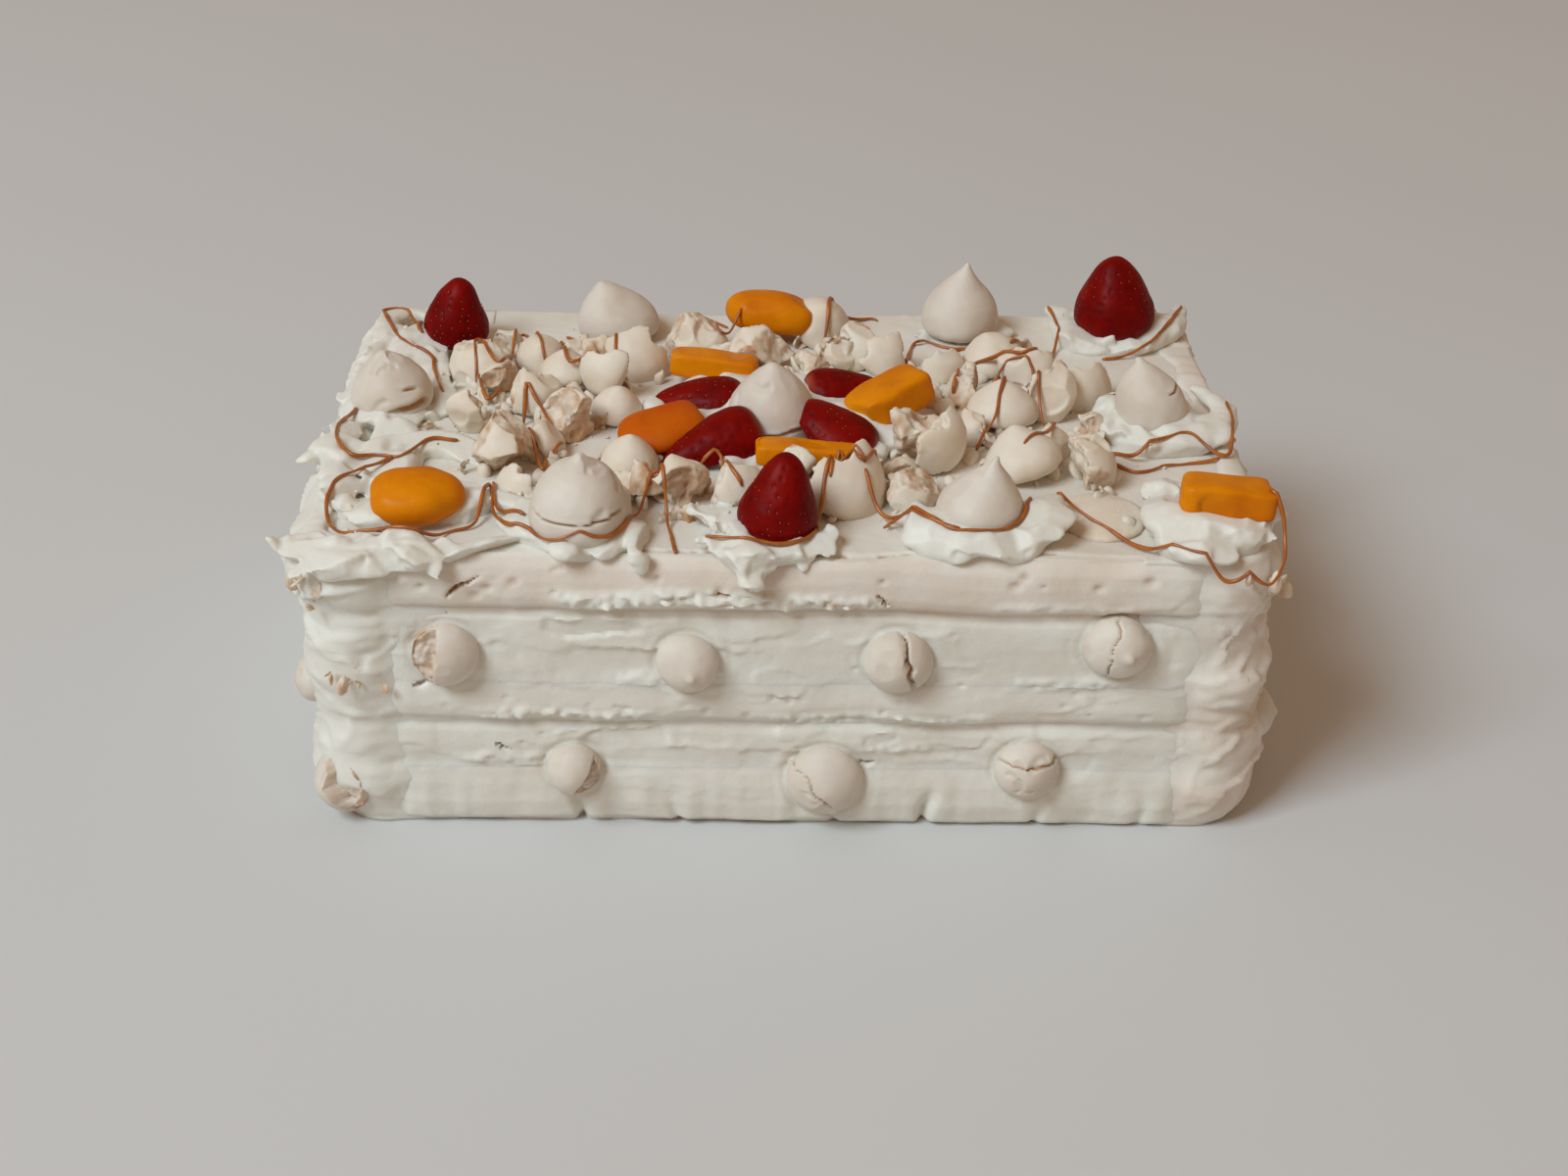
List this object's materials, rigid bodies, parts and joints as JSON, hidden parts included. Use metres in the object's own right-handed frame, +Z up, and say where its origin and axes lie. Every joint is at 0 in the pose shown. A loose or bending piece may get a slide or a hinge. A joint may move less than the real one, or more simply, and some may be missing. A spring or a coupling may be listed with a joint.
{
  "type": "pavlova",
  "caption": "Rectangular pavlova of layered meringue and whipped cream, topped and ringed with meringue kisses, strawberries, peach pieces and broken meringue.",
  "frame": {"origin": "middle of the cake's flat underside, where it stands on its serving surface", "axes": "+X along the cake's length, to the right in the picture, +Y away from the viewer, +Z up"},
  "size_m": [0.344, 0.222, 0.1411],
  "materials": {
    "meringue": "baked meringue, dry and matt, pale pinkish beige",
    "cream": "whipped cream, soft satin white",
    "kiss": "small baked meringue, smooth and matt",
    "broken_meringue": "broken meringue, matt, tan inside",
    "strawberry": "ripe strawberry, dark red, glossy",
    "peach": "preserved peach, amber orange, moist"
  },
  "bodies": {
    "root": {"cream_centre": "cream", "cream_coat_left": "cream", "cream_coat_right": "cream", "cream_lower": "cream", "cream_top_left": "cream", "cream_upper": "cream", "dollop_back_corner": "cream", "dollop_back_right": "cream", "dollop_corner": "cream", "dollop_front": "cream", "dollop_front_left": "cream", "dollop_front_right": "cream", "dollop_right": "cream", "kiss_back_left": "kiss", "kiss_back_right": "kiss", "kiss_centre": "kiss", "kiss_front_left": "kiss", "kiss_front_right": "kiss", "kiss_left": "kiss", "kiss_right": "kiss", "meringue_base": "meringue", "meringue_middle": "meringue", "meringue_top": "meringue", "peach_back": "peach", "peach_centre_back_left": "peach", "peach_centre_front": "peach", "peach_centre_left": "peach", "peach_centre_right": "peach", "peach_front_left": "peach", "peach_front_right": "peach", "shards_back": "broken_meringue", "shards_front": "broken_meringue", "shards_left": "broken_meringue", "shards_right": "broken_meringue", "side_kiss_back_lower_1": "kiss", "side_kiss_back_lower_2": "kiss", "side_kiss_back_lower_3": "kiss", "side_kiss_back_upper_1": "kiss", "side_kiss_back_upper_2": "kiss", "side_kiss_back_upper_3": "kiss", "side_kiss_back_upper_4": "kiss", "side_kiss_corner_lower": "kiss", "side_kiss_front_lower_1": "kiss", "side_kiss_front_lower_2": "kiss", "side_kiss_front_lower_3": "kiss", "side_kiss_front_upper_1": "kiss", "side_kiss_front_upper_2": "kiss", "side_kiss_front_upper_3": "kiss", "side_kiss_front_upper_4": "kiss", "side_kiss_left_1": "kiss", "side_kiss_left_2": "kiss", "side_kiss_right_1": "kiss", "side_kiss_right_2": "kiss", "strawberry_back_left": "strawberry", "strawberry_back_right": "strawberry", "strawberry_centre_back_left": "strawberry", "strawberry_centre_back_right": "strawberry", "strawberry_centre_front_left": "strawberry", "strawberry_centre_front_right": "strawberry", "strawberry_front": "strawberry"}
  },
  "joints": []
}
